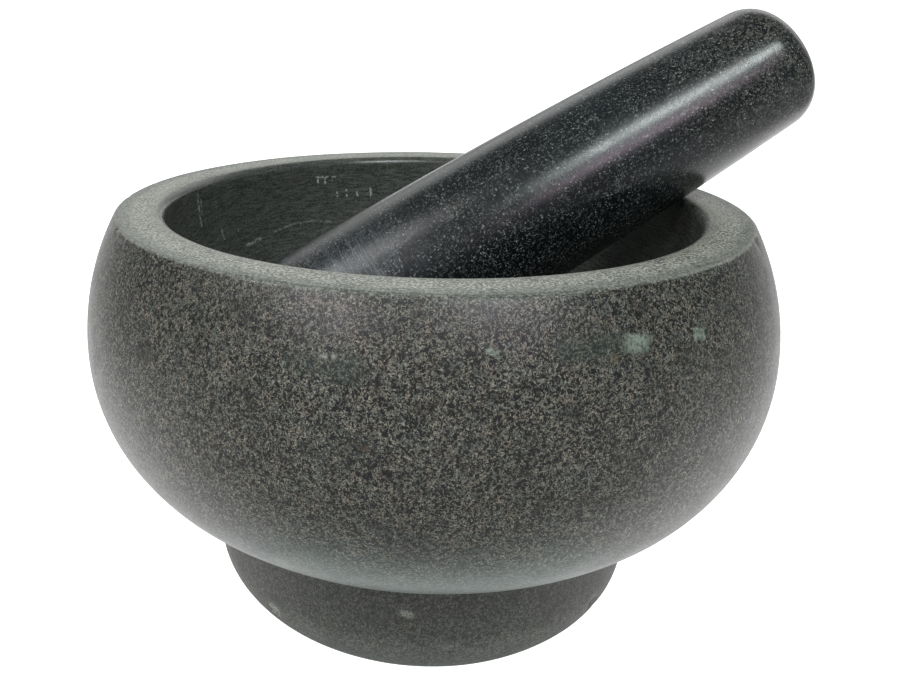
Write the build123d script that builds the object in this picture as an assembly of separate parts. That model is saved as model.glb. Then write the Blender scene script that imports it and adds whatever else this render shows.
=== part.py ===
"""Footed stone mortar with its loose pestle, which rests in the bowl and leans on the rim.

Frame: millimetres, origin at the centre of the foot's underside, +Z up the mortar's turning axis,
+X towards the side of the rim that the pestle leans on.
Each piece is one block of stone turned on its own axis, so each is one outline revolved once.
"""
from build123d import *
import os
from math import acos, asin, cos, degrees, hypot, radians, sin, sqrt

# ---- mortar, outside ----
BOWL_R = 90.0            # widest point of the bowl
BOWL_WIDEST_Z = 78.5     # height of the widest point
MORTAR_H = 111.5         # underside of the foot to the top of the rim
BELLY_IN = 42.3          # reach of the belly's ellipse inwards from the widest point
BELLY_DOWN = 45.6        # reach of the belly's ellipse downwards
SHOULDER_R = 65.4        # arc from the widest point up to the rim
RIM_EDGE_R = 1.6         # rounded outer edge of the rim
FOOT_R = 58.5            # upright part of the foot
FOOT_FLAT_R = 38.4       # flat that the mortar stands on
FOOT_ROUND_H = 18.6      # height of the foot's rounded lower edge
CREASE_R = 1.2           # hollow fillet where the foot meets the belly

# ---- mortar, inside ----
MOUTH_R = 69.0           # upright wall at the mouth, and radius of the round bottom
MOUTH_EDGE_R = 2.5       # rounded inner edge of the rim
BOWL_DEPTH = 75.5        # rim to bottom

# ---- pestle, along its own axis from the grinding end ----
PESTLE_L = 175.2
PESTLE_R = 22.4          # thickest point
PESTLE_THICKEST_Z = 18.4  # distance of the thickest point from the grinding end
SIDE_ARC_R = 2070.0      # long arc of the side, which thins the pestle towards the grip
GRIND_DOME_R = 24.0      # domed grinding end
GRIND_EDGE_R = 14.0      # rounding between that dome and the side
GRIP_DOME_R = 29.0       # domed grip end
GRIP_EDGE_R = 9.0        # rounding between that dome and the side

# ---- rest position ----
LEAN = 30.4              # slope of the resting pestle above level, in degrees
REST_GAP = 0.2           # clearance to the bowl and to the rim


def turned(outline, fillets=()):
    """One stone turned about Z from a closed outline drawn as (radius, height).

    fillets holds (corner, radius) pairs for the outline's corners that are rounded.
    """
    section = make_face(outline)
    for corner, radius in fillets:
        section = fillet(section.vertices().sort_by_distance(corner)[0], radius)
    return revolve(Plane.XZ * section, Axis.Z)


def make_mortar():
    belly_r, shoulder_r = BOWL_R - BELLY_IN, BOWL_R - SHOULDER_R
    belly_turn = degrees(acos((FOOT_R - belly_r) / BELLY_IN))
    crease = (FOOT_R, BOWL_WIDEST_Z - BELLY_DOWN * sin(radians(belly_turn)))
    shoulder_turn = degrees(asin((MORTAR_H - BOWL_WIDEST_Z) / SHOULDER_R))
    rim_corner = (shoulder_r + SHOULDER_R * cos(radians(shoulder_turn)), MORTAR_H)
    mouth_corner = (MOUTH_R, MORTAR_H)
    bottom_z = MORTAR_H - BOWL_DEPTH
    foot_round_r = FOOT_R - FOOT_FLAT_R
    outline = [
        Line((0, 0), (FOOT_FLAT_R, 0)),
        EllipticalCenterArc((FOOT_FLAT_R, FOOT_ROUND_H), foot_round_r, FOOT_ROUND_H, 270, arc_size=90),
        Line((FOOT_R, FOOT_ROUND_H), crease),
        EllipticalCenterArc((belly_r, BOWL_WIDEST_Z), BELLY_IN, BELLY_DOWN, -belly_turn, arc_size=belly_turn),
        CenterArc((shoulder_r, BOWL_WIDEST_Z), SHOULDER_R, 0, shoulder_turn),
        Line(rim_corner, mouth_corner),
        Line(mouth_corner, (MOUTH_R, bottom_z + MOUTH_R)),
        CenterArc((0, bottom_z + MOUTH_R), MOUTH_R, 270, 90),
        Line((0, bottom_z), (0, 0)),
    ]
    return turned(outline, [(crease, CREASE_R), (rim_corner, RIM_EDGE_R), (mouth_corner, MOUTH_EDGE_R)])


def circle_crossing(centre_1, radius_1, centre_2, radius_2):
    """The crossing of two circles that lies to the right of the way from centre 1 to centre 2."""
    dx, dz = centre_2[0] - centre_1[0], centre_2[1] - centre_1[1]
    span = hypot(dx, dz)
    along = (span**2 + radius_1**2 - radius_2**2) / (2 * span)
    across = sqrt(radius_1**2 - along**2)
    return (
        centre_1[0] + (along * dx + across * dz) / span,
        centre_1[1] + (along * dz - across * dx) / span,
    )


def make_pestle():
    """The pestle standing on its grinding end at the origin."""
    side_centre = (PESTLE_R - SIDE_ARC_R, PESTLE_THICKEST_Z)
    grind_centre, grip_centre = (0, GRIND_DOME_R), (0, PESTLE_L - GRIP_DOME_R)
    grind_corner = circle_crossing(side_centre, SIDE_ARC_R, grind_centre, GRIND_DOME_R)
    grip_corner = circle_crossing(grip_centre, GRIP_DOME_R, side_centre, SIDE_ARC_R)
    outline = [
        RadiusArc((0, 0), grind_corner, -GRIND_DOME_R),
        RadiusArc(grind_corner, grip_corner, -SIDE_ARC_R),
        RadiusArc(grip_corner, (0, PESTLE_L), -GRIP_DOME_R),
        Line((0, PESTLE_L), (0, 0)),
    ]
    return turned(outline, [(grind_corner, GRIND_EDGE_R), (grip_corner, GRIP_EDGE_R)])


def rest_place():
    """Where the pestle's grinding tip is, and how it is turned, when it touches bowl and rim."""
    along = (cos(radians(LEAN)), sin(radians(LEAN)))
    bowl_centre = (0, MORTAR_H - BOWL_DEPTH + MOUTH_R)
    rim_edge = (MOUTH_R + MOUTH_EDGE_R, MORTAR_H - MOUTH_EDGE_R)
    # from the grinding dome's centre to the centre of the long arc along the pestle's underside
    ahead, above = PESTLE_THICKEST_Z - GRIND_DOME_R, SIDE_ARC_R - PESTLE_R
    to_arc = (ahead * along[0] - above * along[1], ahead * along[1] + above * along[0])
    dome_x, dome_z = circle_crossing(
        bowl_centre,
        MOUTH_R - GRIND_DOME_R - REST_GAP,
        (rim_edge[0] - to_arc[0], rim_edge[1] - to_arc[1]),
        SIDE_ARC_R + MOUTH_EDGE_R + REST_GAP,
    )
    tip = (dome_x - GRIND_DOME_R * along[0], 0, dome_z - GRIND_DOME_R * along[1])
    return Location(tip, (0, 90 - LEAN, 0))


def main():
    os.makedirs("parts", exist_ok=True)
    export_step(make_mortar(), "parts/mortar.step")
    export_step(rest_place() * make_pestle(), "parts/pestle.step")


main()
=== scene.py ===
"""Looks of the footed stone mortar and its pestle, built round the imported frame. Metres, +Z up."""
from math import acos, asin, atan2, ceil, cos, exp, hypot, pi, radians, sin, sqrt

import bpy
from mathutils import Matrix, Vector


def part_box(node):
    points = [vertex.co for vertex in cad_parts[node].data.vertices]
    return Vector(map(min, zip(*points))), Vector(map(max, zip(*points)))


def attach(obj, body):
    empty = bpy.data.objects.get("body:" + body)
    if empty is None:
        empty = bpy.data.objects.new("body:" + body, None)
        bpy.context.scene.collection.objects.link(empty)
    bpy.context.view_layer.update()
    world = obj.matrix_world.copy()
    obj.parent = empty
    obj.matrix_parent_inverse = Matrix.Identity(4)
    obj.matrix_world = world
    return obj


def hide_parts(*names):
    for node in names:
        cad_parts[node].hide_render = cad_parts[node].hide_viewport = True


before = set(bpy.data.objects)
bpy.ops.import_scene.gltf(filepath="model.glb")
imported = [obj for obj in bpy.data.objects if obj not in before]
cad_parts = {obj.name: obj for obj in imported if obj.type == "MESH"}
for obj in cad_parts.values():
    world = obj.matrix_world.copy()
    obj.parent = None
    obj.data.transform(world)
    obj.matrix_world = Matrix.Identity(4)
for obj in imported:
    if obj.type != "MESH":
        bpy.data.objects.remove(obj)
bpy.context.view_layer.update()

MM = 0.001
mortar_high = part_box("mortar")[1]
pestle_low, pestle_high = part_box("pestle")

# ---- mortar ----
BOWL_R, MORTAR_H = mortar_high.x, mortar_high.z
WIDEST_Z = 78.5 * MM
BELLY_IN, BELLY_DOWN, SHOULDER_R = 42.3 * MM, 45.6 * MM, 65.4 * MM
RIM_EDGE_R, MOUTH_EDGE_R, CREASE_R = 1.6 * MM, 2.5 * MM, 1.2 * MM
MOUTH_R, BOWL_DEPTH = 69.0 * MM, 75.5 * MM
FOOT_R, FOOT_FLAT_R, FOOT_ROUND = 58.5 * MM, 38.4 * MM, 18.6 * MM
SKIN = 0.15 * MM          # the stone is drawn this far inside the frame's outline

# ---- pestle, standing on its grinding end ----
PESTLE_L, PESTLE_R = 175.2 * MM, pestle_high.y
THICKEST_Z, SIDE_R = 18.4 * MM, 2070 * MM
GRIND_DOME, GRIND_EDGE = 24 * MM, 14 * MM
GRIP_DOME, GRIP_EDGE = 29 * MM, 9 * MM
LEAN = radians(30.4)      # slope of the resting pestle above level
PESTLE_SKIN = 0.06 * MM


# ---------------------------------------------------------------- outlines

def arc(centre, radii, start, end, gap):
    """Points along part of a circle or ellipse, about gap apart; start and end are in radians."""
    rx, rz = radii if isinstance(radii, tuple) else (radii, radii)
    count = max(2, ceil(abs(end - start) * max(rx, rz) / gap))
    turns = [start + (end - start) * i / count for i in range(count + 1)]
    return [(centre[0] + rx * cos(t), centre[1] + rz * sin(t)) for t in turns]


def straight(start, end, gap):
    """Points along a straight line, about gap apart."""
    count = max(1, ceil(hypot(end[0] - start[0], end[1] - start[1]) / gap))
    return [tuple(a + (b - a) * i / count for a, b in zip(start, end)) for i in range(count + 1)]


def joined(*runs):
    """One outline from runs that meet end to end."""
    points = list(runs[0])
    for run in runs[1:]:
        points += run[1:]
    return points


def circle_crossing(centre_1, radius_1, centre_2, radius_2):
    """The crossing of two circles that lies to the right of the way from centre 1 to centre 2."""
    dx, dz = centre_2[0] - centre_1[0], centre_2[1] - centre_1[1]
    span = hypot(dx, dz)
    along = (span**2 + radius_1**2 - radius_2**2) / (2 * span)
    across = sqrt(radius_1**2 - along**2)
    return (
        centre_1[0] + (along * dx + across * dz) / span,
        centre_1[1] + (along * dz - across * dx) / span,
    )


def mortar_outline():
    """Radius and height from the bowl's bottom, over the rim, to the middle of the foot."""
    widest_r, top, flat = BOWL_R - SKIN, MORTAR_H - SKIN, SKIN
    belly_r, shoulder_r = widest_r - BELLY_IN, widest_r - SHOULDER_R
    bowl_centre = (0, MORTAR_H - BOWL_DEPTH + MOUTH_R)
    lip = (MOUTH_R + MOUTH_EDGE_R, top - MOUTH_EDGE_R)
    # the rim's edge rolls inside the shoulder's arc and under the flat top
    edge_turn = asin((top - RIM_EDGE_R - WIDEST_Z) / (SHOULDER_R - RIM_EDGE_R))
    edge = (shoulder_r + (SHOULDER_R - RIM_EDGE_R) * cos(edge_turn), top - RIM_EDGE_R)
    foot_r = FOOT_R - SKIN
    belly_turn = acos((foot_r + CREASE_R - belly_r) / BELLY_IN)
    belly_end = WIDEST_Z - BELLY_DOWN * sin(belly_turn)
    wide, fine = 1.35 * MM, 0.45 * MM
    return joined(
        arc(bowl_centre, MOUTH_R, -pi / 2, 0, wide),
        straight((MOUTH_R, bowl_centre[1]), (MOUTH_R, lip[1]), wide),
        arc(lip, MOUTH_EDGE_R, pi, pi / 2, fine),
        straight((lip[0], top), (edge[0], top), wide),
        arc(edge, RIM_EDGE_R, pi / 2, edge_turn, fine / 2),
        arc((shoulder_r, WIDEST_Z), SHOULDER_R, edge_turn, 0, wide),
        arc((belly_r, WIDEST_Z), (BELLY_IN, BELLY_DOWN), 0, -belly_turn, wide),
        arc((foot_r + CREASE_R, belly_end - CREASE_R), CREASE_R, pi / 2, pi, fine),
        straight((foot_r, belly_end - CREASE_R), (foot_r, FOOT_ROUND), wide),
        arc((FOOT_FLAT_R, FOOT_ROUND), (foot_r - FOOT_FLAT_R, FOOT_ROUND - flat), 0, -pi / 2, wide),
        straight((FOOT_FLAT_R, flat), (0, flat), 3 * MM),
    )


def pestle_outline():
    """Radius and height of the standing pestle, from the grip's end down to the grinding tip."""
    side_r = SIDE_R - PESTLE_SKIN
    side = (PESTLE_R - SIDE_R, THICKEST_Z)
    grip, grind = (0, PESTLE_L - GRIP_DOME), (0, GRIND_DOME)
    grip_r, grind_r = GRIP_DOME - PESTLE_SKIN, GRIND_DOME - PESTLE_SKIN
    grip_edge = circle_crossing(grip, grip_r - GRIP_EDGE, side, side_r - GRIP_EDGE)
    grind_edge = circle_crossing(side, side_r - GRIND_EDGE, grind, grind_r - GRIND_EDGE)

    def heading(start, end):
        return atan2(end[1] - start[1], end[0] - start[0])

    grip_turn, top_turn = heading(grip, grip_edge), heading(side, grip_edge)
    grind_turn, low_turn = heading(grind, grind_edge), heading(side, grind_edge)
    return joined(
        arc(grip, grip_r, pi / 2, grip_turn, 0.8 * MM),
        arc(grip_edge, GRIP_EDGE, grip_turn, top_turn, 0.6 * MM),
        arc(side, side_r, top_turn, low_turn, 1.1 * MM),
        arc(grind_edge, GRIND_EDGE, low_turn, grind_turn, 0.8 * MM),
        arc(grind, grind_r, grind_turn, -pi / 2, 0.8 * MM),
    )


# ---------------------------------------------------------------- pieces

def turned(name, outline, steps):
    """A piece turned on Z from an outline of radii and heights."""
    mesh = bpy.data.meshes.new(name)
    mesh.from_pydata([(r, 0, z) for r, z in outline], [(i, i + 1) for i in range(len(outline) - 1)], [])
    piece = bpy.data.objects.new(name, mesh)
    bpy.context.collection.objects.link(piece)
    screw = piece.modifiers.new("turned", "SCREW")
    screw.steps = screw.render_steps = steps
    screw.use_merge_vertices = True
    screw.merge_threshold = 0.01 * MM
    screw.use_smooth_shade = True
    graph = bpy.context.evaluated_depsgraph_get()
    piece.data = bpy.data.meshes.new_from_object(piece.evaluated_get(graph))
    piece.modifiers.clear()
    bpy.data.meshes.remove(mesh)
    piece.data.name = name
    return piece


def point_at(radius_mm, turn, height_mm):
    """A point in metres, from a radius and height in millimetres and a turn about Z in degrees."""
    return Vector((radius_mm * cos(radians(turn)), radius_mm * sin(radians(turn)), height_mm)) * MM


def chip(piece, name, depth, places):
    """Small bites out of the stone: places are pairs of a point and the bite's reach in metres."""
    group = piece.vertex_groups.new(name=name)
    for v in piece.data.vertices:
        for point, reach in places:
            away = (v.co - point).length / reach
            if away < 2.5:
                group.add([v.index], exp(-away * away), "ADD")
    bite = piece.modifiers.new(name, "DISPLACE")
    bite.vertex_group = name
    bite.strength = -depth
    bite.mid_level = 0
    bite.direction = "NORMAL"


def uneven(piece, name, size, height):
    """A slow unevenness of the stone's skin, up to half of height in and out."""
    cloud = bpy.data.textures.new(name, "CLOUDS")
    cloud.noise_scale = size
    skin = piece.modifiers.new(name, "DISPLACE")
    skin.texture = cloud
    skin.texture_coords = "LOCAL"
    skin.strength = height
    skin.mid_level = 0.5


def make_mortar():
    piece = turned("mortar_stone", mortar_outline(), 336)
    uneven(piece, "hand_finish", 28 * MM, 0.14 * MM)
    chip(piece, "rim_chips", 0.5 * MM, [
        (point_at(81.1, -163.2, 110.8), 0.9 * MM),
        (point_at(81.6, -36, 110.5), 1.1 * MM),
        (point_at(81.6, 64, 110.5), 1.6 * MM),
        (point_at(81.6, 171, 110.5), 1.0 * MM),
    ])
    chip(piece, "foot_chips", 0.9 * MM, [
        (point_at(57.7, -140.5, 13.3), 1.6 * MM),
        (point_at(58.2, -93.7, 15.2), 1.2 * MM),
        (point_at(57.8, -50, 14.0), 2.2 * MM),
        (point_at(57.5, -46, 12.0), 1.6 * MM),
        (point_at(57.0, 20, 11.0), 2.0 * MM),
        (point_at(57.0, 118, 11.0), 1.8 * MM),
    ])
    return piece


def make_pestle():
    """The pestle leaning in the bowl, and the place of its grinding tip."""
    piece = turned("pestle_stone", pestle_outline(), 232)
    piece.data.transform(Matrix.Rotation(pi / 2 - LEAN, 4, "Y"))
    points = [v.co for v in piece.data.vertices]
    middle = Vector([(min(p[i] for p in points) + max(p[i] for p in points)) / 2 for i in range(3)])
    tip = (pestle_low + pestle_high) / 2 - middle
    piece.data.transform(Matrix.Translation(tip))
    return piece, tip


# ---------------------------------------------------------------- node maths

class Field:
    """A number that varies over a surface; ordinary sums of these become nodes."""

    def __init__(self, look, socket):
        self.look, self.socket = look, socket

    def __add__(self, other):
        return self.look.calc("ADD", self, other)

    def __sub__(self, other):
        return self.look.calc("SUBTRACT", self, other)

    def __rsub__(self, other):
        return self.look.calc("SUBTRACT", other, self)

    def __mul__(self, other):
        return self.look.calc("MULTIPLY", self, other)

    def __truediv__(self, other):
        return self.look.calc("DIVIDE", self, other)

    __radd__, __rmul__ = __add__, __mul__


class Look:
    """One material. Every node is added by node(); places are vectors in millimetres."""

    def __init__(self, name):
        self.material = bpy.data.materials.new(name)
        self.material.use_nodes = True
        self.tree = self.material.node_tree
        self.surface = self.tree.nodes["Principled BSDF"]

    def fill(self, node, values):
        for key, value in values.items():
            if isinstance(value, Field):
                self.tree.links.new(value.socket, node.inputs[key])
            else:
                node.inputs[key].default_value = value

    def node(self, kind, settings, values, output=0):
        node = self.tree.nodes.new("ShaderNode" + kind)
        for key, value in settings.items():
            setattr(node, key, value)
        self.fill(node, values)
        return Field(self, node.outputs[output])

    def calc(self, operation, *values):
        return self.node("Math", {"operation": operation}, dict(enumerate(values)))

    def vector(self, operation, *values, output=0):
        return self.node("VectorMath", {"operation": operation}, dict(enumerate(values)), output)

    def dot(self, a, b):
        return self.vector("DOT_PRODUCT", a, b, output=1)

    def most(self, a, b):
        return self.calc("MAXIMUM", a, b)

    def rise(self, value, low, high):
        """0 below low, 1 above high and smooth between; a low above high falls instead."""
        ends = (low, high, 0, 1) if low < high else (high, low, 1, 0)
        return self.node("MapRange", {"interpolation_type": "SMOOTHSTEP"}, dict(enumerate((value, *ends))))

    def paint(self, colour, over, cover):
        """Colour laid over another where cover is 1."""
        values = {0: cover, 6: colour, 7: over}
        return self.node("Mix", {"data_type": "RGBA", "clamp_factor": True}, values, 2)

    def noise(self, place, size, seed, detail=2.0, rough=0.5, swirl=0.0):
        """Noise between 0 and 1 whose lumps are about size across; each seed gives its own pattern."""
        moved = self.vector("ADD", place, (seed * 31.7, seed * -17.3, seed * 23.9))
        return self.node("TexNoise", {}, {"Vector": moved, "Scale": 1 / size, "Detail": detail,
                                          "Roughness": rough, "Distortion": swirl})

    def streaks(self, place, round_radius, along, across, seed, detail=2.0):
        """Noise drawn out round the Z axis: along and across are the marks' sizes."""
        x, y, z = self.split(place)
        r = self.most(self.calc("SQRT", x * x + y * y), 0.01)
        turns = round_radius / along
        ring = self.node("CombineXYZ", {}, {0: x / r * turns, 1: y / r * turns, 2: r / across + seed})
        values = {"Vector": ring, "W": z / across, "Scale": 1.0, "Detail": detail}
        return self.node("TexNoise", {"noise_dimensions": "4D"}, values)

    def split(self, place):
        return [self.node("SeparateXYZ", {}, {0: place}, i) for i in range(3)]

    def spot(self, place, centre, reach, edge=0.5):
        """1 within reach of a centre, fading out over the part of reach given by edge."""
        away = self.vector("DISTANCE", place, tuple(centre), output=1)
        return self.rise(away, reach * (1 + edge), reach * (1 - edge))

    def scratch(self, place, start, end, width):
        """1 on a straight line between two points, fading out over width."""
        way = Vector(end) - Vector(start)
        from_start = self.vector("SUBTRACT", place, tuple(start))
        part = self.node("Clamp", {}, {0: self.dot(from_start, tuple(way / way.length_squared))})
        nearest = self.node("VectorMath", {"operation": "SCALE"}, {0: tuple(way), "Scale": part})
        away = self.vector("DISTANCE", from_start, nearest, output=1)
        return self.rise(away, width, width * 0.3)

    def finish(self, colour, roughness, height, depth):
        """Connects colour and roughness, and a relief that is depth metres deep."""
        bump = self.node("Bump", {}, {"Height": height, "Distance": depth, "Strength": 1.0})
        self.fill(self.surface, {"Base Color": colour, "Roughness": roughness, "Normal": bump})
        return self.material


def tone(red, green, blue):
    """A colour given as it looks on a screen, 0 to 255, as linear light."""
    return tuple((c / 255 / 12.92 if c < 10.3 else ((c / 255 + 0.055) / 1.055) ** 2.4)
                 for c in (red, green, blue)) + (1.0,)


# ---------------------------------------------------------------- the mortar's stone

def on_mortar(radius_mm, turn, height_mm):
    return point_at(radius_mm, turn, height_mm) / MM


def threads(look, place, size, seed, thick, broken):
    """Short wandering pale threads of mineral; thick widens them and broken leaves fewer of them."""
    sway = look.noise(place, size, seed, 1.0, 0.5, 0.5)
    line = look.rise(look.calc("ABSOLUTE", sway - 0.5), thick, thick * 0.25)
    return line * look.rise(look.noise(place, size * 1.25, seed + 2.5, 1.0), broken - 0.05, broken + 0.05)


def mortar_flecks(look, place):
    """Interlaced pale grains, and the sparser bright ones among them."""
    patchy = look.noise(place, 6.0, 8.4, 2.0)
    coarse = threads(look, place, 0.74, 3.1, 0.085, 0.45)
    pale = look.most(coarse, threads(look, place, 0.55, 7.3, 0.075, 0.49))
    grit = look.rise(look.noise(place, 0.36, 17.2, 1.0), 0.54, 0.64)
    return pale * look.rise(patchy, 0.1, 0.5) * (0.5 + grit * 0.5), grit


def outside_colour(look, place, pale, bright):
    """Charcoal stone with a green cast, pale grains and a few coloured spots."""
    cloud = look.noise(place, 30.0, 1.5, 3.0, 0.55)
    patch = look.noise(place, 11.0, 5.5, 2.0, 0.5, 0.6)
    dark = look.paint(tone(8, 10, 10), tone(16, 17, 16), look.rise(cloud, 0.40, 0.62))
    green = look.rise(patch, 0.60, 0.72)
    dark = look.paint(dark, tone(20, 30, 26), green * 0.4)
    warm = look.rise(look.noise(place, 2.2, 6.1), 0.4, 0.65)
    grain = look.paint(tone(124, 130, 120), tone(144, 140, 125), warm)
    colour = look.paint(dark, grain, pale * (1.0 - green * 0.35))
    colour = look.paint(colour, tone(150, 147, 132), bright * pale * 0.6)
    sandy = look.rise(look.noise(place, 2.2, 21.0, 1.5), 0.73, 0.80)
    return look.paint(colour, tone(118, 106, 78), sandy * 0.5)


def coloured_spots(look, place, colour):
    """Mint-coloured inclusions, white specks and rust marks in the shoulder and on the foot."""
    lumps = look.node("TexNoise", {}, {"Vector": place, "Scale": 0.4}, 1)
    sideways = look.vector("SUBTRACT", lumps, (0.5, 0.5, 0.5))
    wander = look.node("VectorMath", {"operation": "SCALE"}, {0: sideways, "Scale": 3.5})
    loose = look.vector("ADD", place, wander)
    ragged = look.rise(look.noise(place, 0.6, 12.0, 2.0), 0.36, 0.62)
    smear = look.most(look.scratch(loose, on_mortar(85.8, -84, 101.6), on_mortar(85.8, -76, 102.0), 4.0),
                      look.scratch(loose, on_mortar(86.5, -117, 98.6), on_mortar(86.5, -110, 98.2), 4.0))
    colour = look.paint(colour, tone(50, 66, 57), smear * 0.3)
    mint = [(85.7, -75.0, 101.5, -73.4, 2.6), (86.2, -64.0, 100.4, -62.9, 1.7),
            (85.6, -93.8, 102.2, -92.6, 0.9), (86.0, 31.0, 100.6, 33.0, 2.4),
            (87.5, 152.0, 96.5, 153.0, 1.6)]
    for radius, turn, height, end_turn, reach in mint:
        start, end = on_mortar(radius, turn, height), on_mortar(radius, end_turn, height)
        patch = look.scratch(loose, start, end, reach) * (0.25 + ragged * 0.5)
        colour = look.paint(colour, tone(138, 154, 140), patch)
    white = [(86.4, -113.8, 100.0, 0.7), (86.3, -112.4, 100.2, 0.5), (86.5, -108.7, 99.7, 0.5),
             (57.7, -140.5, 13.3, 1.6), (58.4, -103.5, 25.4, 1.3), (58.2, -93.7, 15.2, 0.9),
             (81.1, -163.2, 110.9, 0.5)]
    for radius, turn, height, reach in white:
        speck = look.spot(loose, on_mortar(radius, turn, height), reach, 0.8) * (0.2 + ragged * 0.7)
        colour = look.paint(colour, tone(150, 154, 144), speck)
    rust = [(86.6, -77.8, 99.3, 0.9), (89.7, -107.9, 84.4, 0.8), (88.0, 96.0, 66.0, 0.9)]
    for radius, turn, height, reach in rust:
        stain = look.spot(place, on_mortar(radius, turn, height), reach) * 0.4
        colour = look.paint(colour, tone(84, 70, 50), stain)
    return colour


def bowl_marks(look, place):
    """Broken pale pestle scuffs and one faint curved scratch on the bowl's wall."""
    # (start, end, width, strength); each place is a radius, a turn and a height
    scuffs = [
        ((69, 155.2, 108.0), (68.4, 154.4, 98.5), 0.8, 0.6),
        ((69, 153.8, 106.0), (68.6, 153.4, 101.5), 0.5, 0.5),
        ((69, 112, 105.8), (69, 103.5, 105.3), 0.5, 0.6), ((69, 111.2, 105.5), (69, 111.1, 103.0), 0.5, 0.8),
        ((69, 109, 105.2), (69, 108.9, 103.6), 0.5, 0.8), ((69, 106.8, 105.2), (69, 106.7, 104.0), 0.4, 0.7),
        ((68.9, 105.4, 100.4), (68.8, 105.3, 98.6), 0.5, 0.6),
        ((68.9, 102.6, 100.9), (68.8, 102.4, 98.2), 0.5, 0.7),
        ((68.9, 99.4, 100.7), (68.8, 99.3, 98.4), 0.5, 0.7),
        ((68.9, 95.4, 100.9), (68.8, 95.2, 97.6), 0.5, 0.6),
        ((67.9, 146, 95.4), (67.6, 145.4, 92.2), 0.7, 0.6),
        ((67.7, 139.6, 94.4), (67.6, 139.3, 92.8), 0.5, 0.6),
        ((67.0, 137, 88.0), (67.2, 132, 88.6), 0.9, 0.5), ((69, -20, 104.0), (69, -26, 103.0), 0.6, 0.5),
        ((67.3, 126.4, 89.9), (67.8, 120, 91.2), 0.5, 0.25),
        ((67.8, 120, 91.2), (67.8, 113, 91.3), 0.5, 0.25),
        ((67.8, 113, 91.3), (67.4, 108.1, 90.4), 0.5, 0.25),
    ]
    marks = 0.0
    for start, end, width, strength in scuffs:
        marks = look.most(look.scratch(place, on_mortar(*start), on_mortar(*end), width) * strength, marks)
    return marks * look.rise(look.noise(place, 0.9, 71.0, 2.0, 0.6), 0.42, 0.58)


def honed_stone():
    look = Look("honed_stone")
    coordinates = look.node("TexCoord", {}, {}, 3)
    place = look.node("VectorMath", {"operation": "SCALE"}, {0: coordinates, "Scale": 1 / MM})
    x, y, z = look.split(place)
    r = look.calc("SQRT", x * x + y * y)
    top = MORTAR_H / MM
    inside = look.rise(r, 71.4, 69.6) * look.rise(z - r * 0.08, 35.2, 35.6)
    wobble = (look.noise(place, 9.0, 2.2) - 0.5) * 0.6
    rim = look.rise(z + wobble * 0.3, top - 0.75, top - 0.35) * (1 - look.rise(r, 71.0, 69.9))
    foot = look.rise(z - r * 0.02, 34.5, 33.0) * (1 - inside)
    under = look.rise(z + wobble * 3, 62, 44) * (1 - foot) * (1 - inside)

    pale, bright = mortar_flecks(look, place)
    outside = outside_colour(look, place, pale, bright)
    outside = look.paint(outside, tone(15, 22, 19), look.rise(z, 95, 106) * 0.15)
    # lower belly: the stone's pale grains, with a lighter green tint that is a painted reflection of the
    # table
    under_stone_and_reflection = look.paint(tone(12, 27, 22), tone(80, 93, 83), pale)
    outside = look.paint(outside, under_stone_and_reflection, under * 0.6)
    foot_colour = look.paint(tone(23, 23, 21), tone(98, 95, 85), pale * 0.8)
    foot_colour = look.paint(foot_colour, tone(38, 33, 29), look.rise(x, 10, 60) * 0.5)
    # painted shade: the foot's lowest band is darkened towards the floor; its roughness is also raised there
    # below
    foot_bottom_shade = look.rise(z, 17, 5) * foot
    foot_colour = look.paint(foot_colour, tone(14, 15, 14), foot_bottom_shade * 0.6)
    outside = coloured_spots(look, place, look.paint(outside, foot_colour, foot * 0.82))

    # rim: sawn flat and honed, with fine marks that run round it
    fibres = look.streaks(place, 76, 1.5, 0.5, 4.0)
    mottle = look.noise(place, 3.5, 30.0, 3.0)
    mottled = look.rise(mottle + (fibres - 0.5) * 0.5, 0.36, 0.62)
    rim_colour = look.paint(tone(46, 55, 49), tone(90, 96, 87), mottled)
    speckle = look.rise(look.noise(place, 0.6, 33.0, 1.5), 0.50, 0.62)
    rim_colour = look.paint(rim_colour, tone(196, 199, 185), look.most(pale * 0.8, speckle * 0.85))
    rim_colour = look.paint(rim_colour, tone(40, 54, 47), look.rise(r + wobble * 2, 76.6, 79.0) * 0.4)
    rim_colour = look.paint(rim_colour, tone(112, 114, 103), look.rise(r, 74.0, 71.5) * 0.4)
    edge = look.rise(r, 79.6, 80.3) * look.rise(r, 81.3, 80.8)
    rim_colour = look.paint(rim_colour, tone(84, 90, 84), edge * 0.4)

    # bowl: turned, then worn by the pestle
    turning = look.streaks(place, 60, 3.2, 0.42, 9.0, 4.0)
    bowl_colour = look.paint(tone(42, 49, 47), tone(78, 84, 79), look.rise(turning, 0.38, 0.68))
    bowl_colour = look.paint(bowl_colour, tone(112, 112, 100), look.most(pale * 0.45, speckle * 0.35))
    marks = bowl_marks(look, place)
    bowl_colour = look.paint(bowl_colour, tone(180, 185, 176), marks)

    colour = look.paint(outside, rim_colour, rim * 0.9)
    colour = look.paint(colour, bowl_colour, inside)
    worn = look.noise(place, 6.0, 40.0, 3.0, 0.6)
    roughness = 0.39 + (worn - 0.5) * 0.16 + foot * 0.18 + foot_bottom_shade * 0.25 - inside * 0.14
    fine = look.noise(place, 0.35, 50.0, 2.0)
    relief = fine * (1 - rim * 0.6) * (1 - inside * 0.5) * 0.5 + fibres * rim * 0.35 + turning * inside * 0.6
    return look.finish(colour, roughness, relief, 0.06 * MM)


# ---------------------------------------------------------------- the pestle's stone

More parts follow.
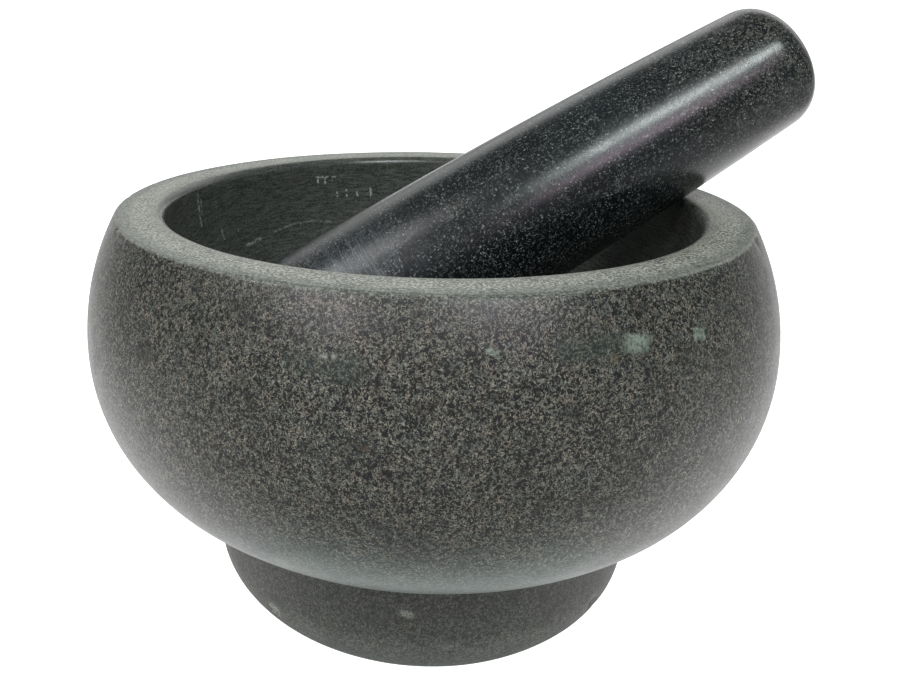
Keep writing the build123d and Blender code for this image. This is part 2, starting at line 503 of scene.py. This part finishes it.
def polished_stone(tip):
    look = Look("polished_stone")
    coordinates = look.node("TexCoord", {}, {}, 3)
    from_tip = look.vector("SUBTRACT", coordinates, tuple(tip))
    place = look.node("VectorMath", {"operation": "SCALE"}, {0: from_tip, "Scale": 1 / MM})
    along = look.dot(place, (cos(LEAN), 0, sin(LEAN)))
    upward = look.dot(place, (-sin(LEAN), 0, cos(LEAN)))
    sideways = look.dot(place, (0, 1, 0))
    place = look.node("CombineXYZ", {}, {0: upward, 1: sideways, 2: along})
    length = PESTLE_L / MM

    grip = look.rise(along, length - 60, length - 5)
    patchy = look.noise(place, 7.0, 3.0, 2.0)
    grain = look.noise(place, 0.55, 7.7, 1.5, 0.6, 0.5)
    spread = 0.45 + look.rise(patchy, 0.3, 0.7) * 0.55
    pale = threads(look, place, 0.62, 5.0, 0.07, 0.53) * spread
    pale = look.most(pale, threads(look, place, 0.7, 11.0, 0.075, 0.50) * grip * 0.8)
    bright = look.rise(look.noise(place, 0.58, 14.0, 2.0, 0.6) + (patchy - 0.5) * 0.06, 0.635, 0.70)
    cloud = look.noise(place, 22.0, 9.0, 3.0)
    colour = look.paint(tone(8, 13, 15), tone(15, 22, 24), look.rise(cloud, 0.4, 0.6))
    fleck = look.paint(tone(116, 124, 118), tone(134, 132, 118), grip * 0.7)
    colour = look.paint(colour, fleck, pale * 0.55)
    colour = look.paint(colour, tone(158, 166, 160), bright * 0.65)

    rings = look.streaks(place, 21, 5.0, 0.2, 2.0, 3.0)
    mid = look.rise(along, 40, 70) * look.rise(along, length - 20, length - 60)
    ring_marks = look.rise(rings, 0.58, 0.70) * (0.3 + mid * 0.7) * look.rise(patchy, 0.35, 0.6)
    colour = look.paint(colour, tone(70, 76, 80), ring_marks * 0.25)

    def on_pestle(distance, turn):
        radius = PESTLE_R / MM - distance**2 / (2 * SIDE_R / MM) * 0.85
        return (radius * cos(radians(turn)), radius * sin(radians(turn)), distance)

    marks = look.scratch(place, on_pestle(157.6, -22), on_pestle(157.0, -45), 0.5)
    marks = look.most(look.scratch(place, on_pestle(62, -46), on_pestle(52, -54), 0.45), marks)
    marks = look.most(look.scratch(place, on_pestle(59, -52), on_pestle(50, -58), 0.3), marks)
    scuffed = look.spot(place, on_pestle(45.6, -44.6), 11.0, 0.9)
    scuffed = scuffed * (bright * 0.7 + look.rise(rings, 0.48, 0.62) * 0.4)
    colour = look.paint(colour, tone(128, 142, 152), look.most(marks * 0.35, scuffed * 0.7))

    ground = look.rise(along, 26, 12)
    colour = look.paint(colour, tone(78, 80, 76), ground * look.rise(grain, 0.42, 0.6) * 0.7)
    smudge = look.noise(place, 9.0, 31.0, 3.0, 0.6)
    roughness = 0.25 + (smudge - 0.5) * 0.22 + ring_marks * 0.12 + scuffed * 0.2 + ground * 0.35
    roughness = roughness + look.rise(along, 75, 45) * 0.08
    pits = look.rise(look.noise(place, 0.5, 60.0, 1.0), 0.36, 0.30)
    relief = rings * 0.35 - pits * 0.5 + ground * grain * 0.8
    return look.finish(colour, roughness, relief, 0.02 * MM)


# ---------------------------------------------------------------- studio

CAMERA_TURN = radians(-11.5)      # the photograph's heading, from +Y about Z


def level(amount):
    """A plain light level as a colour."""
    return (amount, amount, amount, 1)


def studio_floor():
    """A glowing white table that curves up behind the stone and is dimmer where it isn't in view; beneath
    the foot its glow is dimmed as painted shade.
    """
    reach, bend, height, half = 1.9, 0.8, 3.0, 4.0
    run = [(-4.0, 0.0), (reach, 0.0)] + [
        (reach + bend * sin(t), bend - bend * cos(t)) for t in [radians(7.5 * i) for i in range(1, 13)]
    ] + [(reach + bend, height)]
    points = [(side * half, y, z) for y, z in run for side in (-1, 1)]
    faces = [(i, i + 1, i + 3, i + 2) for i in range(0, len(points) - 2, 2)]
    mesh = bpy.data.meshes.new("studio_table")
    mesh.from_pydata(points, [], faces)
    mesh.transform(Matrix.Rotation(CAMERA_TURN, 4, "Z"))
    table = bpy.data.objects.new("studio_table", mesh)
    bpy.context.collection.objects.link(table)
    look = Look("white_table")
    place = look.node("TexCoord", {}, {}, 3)
    ahead = look.dot(place, (-sin(CAMERA_TURN), cos(CAMERA_TURN), 0))
    away = look.vector("LENGTH", place, output=1)
    across = look.calc("ABSOLUTE", look.dot(place, (cos(CAMERA_TURN), sin(CAMERA_TURN), 0)))
    up = look.dot(place, (0, 0, 1))
    aside = look.rise(across / look.most(ahead + 0.30, 0.02), 0.64, 0.95) * look.rise(away, 0.20, 0.36)
    greenish = look.rise(across, 0.085, 0.045) * look.rise(ahead, -0.02, -0.08)
    white = look.paint(level(1.3), (1.16, 1.33, 1.27, 1), greenish)
    glow = look.paint(level(0.2), white, look.rise(ahead, -0.13, -0.056))
    glow = look.paint(glow, level(0.35), look.most(look.rise(up, 0.22, 0.5), aside))
    glow = look.paint(glow, level(1.25), look.rise(up, 0.9, 1.4))
    # painted shade: the glow is almost put out beneath the foot, where the stone would shade the floor
    glow = look.paint(glow, level(0.05), look.rise(away, 0.046, 0.030))
    look.fill(look.surface, {"Base Color": level(0.3), "Roughness": 0.9, "Specular IOR Level": 0.0,
                             "Emission Color": glow, "Emission Strength": 1.0})
    table.data.materials.append(look.material)


def soft_box(name, turn, rise, distance, width, height, power, colour=(1, 1, 1)):
    """A rectangular lamp aimed at the stone; turn and rise are degrees round and above it."""
    lamp = bpy.data.lights.new(name, "AREA")
    lamp.shape = "RECTANGLE"
    lamp.size, lamp.size_y = width, height
    lamp.energy, lamp.color = power, colour
    box = bpy.data.objects.new(name, lamp)
    bpy.context.collection.objects.link(box)
    round_z, up = radians(turn), radians(rise)
    way = Vector((cos(round_z) * cos(up), sin(round_z) * cos(up), sin(up)))
    box.matrix_world = (Matrix.Translation(Vector((0.02, 0, 0.1)) + way * distance)
                        @ way.to_track_quat("Z", "Y").to_matrix().to_4x4())


def studio_light():
    world = bpy.data.worlds.new("studio")
    bpy.context.scene.world = world
    world.use_nodes = True
    world.node_tree.nodes["Background"].inputs["Color"].default_value = (0.93, 0.96, 1.0, 1)
    world.node_tree.nodes["Background"].inputs["Strength"].default_value = 0.21
    soft_box("front_strip", -79, 46.5, 0.95, 0.34, 0.16, 3.7, (0.92, 1.0, 0.99))
    soft_box("rosy_fill", -77, 30, 0.95, 0.3, 0.16, 1.0, (1.0, 0.8, 0.95))
    soft_box("lilac_fill", -132.3, 29.5, 0.95, 0.2, 0.16, 1.5, (1.0, 0.9, 0.97))
    soft_box("left_window", -160, 48, 1.1, 0.5, 0.35, 5.0)
    bpy.context.scene.view_settings.view_transform = "Standard"


def photo_camera():
    """The photograph's view: a near, wide view from slightly above the rim."""
    away, above = 2.55 * BOWL_R, 1.7827 * BOWL_R
    pan, tilt, roll = -0.07103, 0.29859, -0.00702
    width, height = 900, 675
    focal, middle_x, middle_y = 870.53, 366.88, 275.34
    data = bpy.data.cameras.new("camera")
    camera = bpy.data.objects.new("camera", data)
    bpy.context.collection.objects.link(camera)
    bpy.context.scene.camera = camera
    ahead = Vector((sin(pan) * cos(tilt), cos(pan) * cos(tilt), -sin(tilt)))
    right = Vector((cos(pan), -sin(pan), 0))
    down = ahead.cross(right)
    right, down = cos(roll) * right + sin(roll) * down, cos(roll) * down - sin(roll) * right
    stand = Matrix((right, -down, -ahead)).transposed().to_4x4()
    stand.translation = Vector((0, -away, above))
    camera.matrix_world = Matrix.Rotation(CAMERA_TURN, 4, "Z") @ stand
    data.sensor_width = 36
    data.lens = focal / width * data.sensor_width
    data.shift_x = (width / 2 - middle_x) / width
    data.shift_y = (middle_y - height / 2) / width
    data.clip_start = 0.01


# ---------------------------------------------------------------- all together

mortar = make_mortar()
pestle, tip = make_pestle()
mortar.data.materials.append(honed_stone())
pestle.data.materials.append(polished_stone(tip))
for piece, node in ((mortar, "mortar"), (pestle, "pestle")):
    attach(piece, node)
    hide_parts(node)

studio_floor()
studio_light()
photo_camera()
